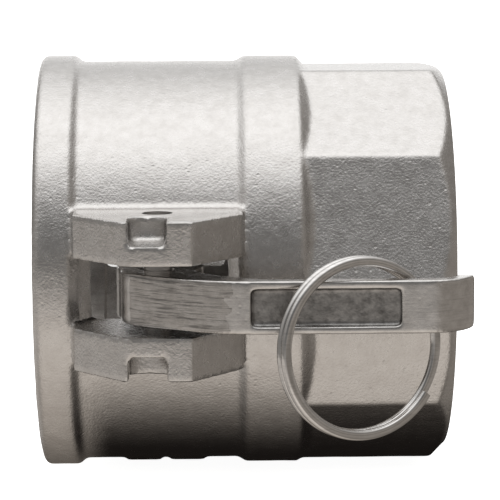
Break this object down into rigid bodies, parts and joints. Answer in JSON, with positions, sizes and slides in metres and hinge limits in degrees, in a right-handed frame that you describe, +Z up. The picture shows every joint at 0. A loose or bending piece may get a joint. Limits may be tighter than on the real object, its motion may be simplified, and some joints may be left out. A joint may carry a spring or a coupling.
{
  "type": "camlock hose coupling",
  "caption": "Female cam-and-groove coupling with cam arms, pull rings and a female pipe thread, for quick hose or pipe connection.",
  "frame": {"origin": "centre of the socket mouth, in the plane of the rim's face", "axes": "+X along the coupling axis towards the threaded end, +Z up, the front cam arm on -Y and the rear one on +Y"},
  "size_m": [0.0742, 0.1272, 0.0752],
  "materials": {
    "cast_stainless_body": "blasted investment casting, fine orange-peel grain",
    "cast_stainless_arm": "satin, lightly scratched, polished edges",
    "pin_steel": "drawn bar, peened ends",
    "ring_wire": "polished spring wire",
    "gasket_rubber": "matt black nitrile"
  },
  "bodies": {
    "body": {"coupler_body": "cast_stainless_body", "gasket": "gasket_rubber", "front_pivot_pin": "pin_steel", "rear_pivot_pin": "pin_steel"},
    "front_arm": {"front_cam_arm": "cast_stainless_arm"},
    "rear_arm": {"rear_cam_arm": "cast_stainless_arm"},
    "front_ring": {"front_pull_ring": "ring_wire"},
    "rear_ring": {"rear_pull_ring": "ring_wire"}
  },
  "joints": [
    {"name": "front_arm_pivot", "type": "hinge", "parent": "body", "child": "front_arm", "pos_m": [0.0216, -0.0409, 0], "axis": [0, 0, -1], "range_deg": [0, 115]},
    {"name": "rear_arm_pivot", "type": "hinge", "parent": "body", "child": "rear_arm", "pos_m": [0.0216, 0.0409, 0], "axis": [0, 0, 1], "range_deg": [0, 115]},
    {"name": "front_ring_swing", "type": "hinge", "parent": "front_arm", "child": "front_ring", "pos_m": [0.0645, -0.0486, 0], "axis": [0, 0, 1], "range_deg": [0, 150]},
    {"name": "rear_ring_swing", "type": "hinge", "parent": "rear_arm", "child": "rear_ring", "pos_m": [0.0645, 0.0486, 0], "axis": [0, 0, -1], "range_deg": [0, 150]}
  ]
}
